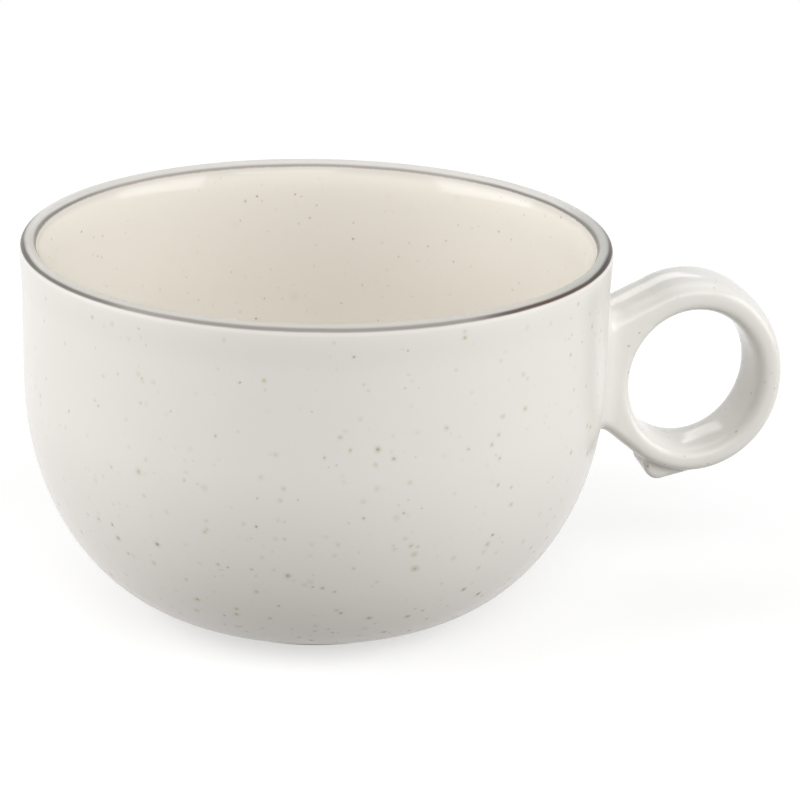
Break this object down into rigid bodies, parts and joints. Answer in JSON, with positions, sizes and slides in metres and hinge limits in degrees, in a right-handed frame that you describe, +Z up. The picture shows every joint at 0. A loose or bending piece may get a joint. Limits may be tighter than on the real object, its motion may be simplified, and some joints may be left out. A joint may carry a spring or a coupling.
{
  "type": "coffee cup",
  "caption": "Low, wide stoneware coffee cup with a rounded belly, speckled off-white glaze, cream inside, dark lip band and a finger-ring handle with a short tail.",
  "frame": {"origin": "under the middle of the cup's overall box, on the surface that the foot ring stands on", "axes": "+Z up along the cup's own axis, +X from the cup's axis towards the handle, +Y across the handle's strap"},
  "size_m": [0.1405, 0.1062, 0.069],
  "materials": {
    "stoneware_clay": "bare fired stoneware, matt",
    "luting_slip": "fired slip, matt",
    "speckled_glaze": "glossy off-white glaze with tan and brown iron specks",
    "handle_glaze": "glossy off-white glaze with few specks",
    "cream_glaze": "glossy cream glaze with sparse fine specks",
    "lip_oxide": "glossy dark grey-brown oxide, thin at the crest of the lip"
  },
  "bodies": {
    "root": {"cup_body": "stoneware_clay", "outer_glaze": "speckled_glaze", "liner_glaze": "cream_glaze", "rim_band": "lip_oxide", "base_glaze": "speckled_glaze", "handle": "stoneware_clay", "handle_glaze": "handle_glaze", "handle_slip": "luting_slip"}
  },
  "joints": []
}
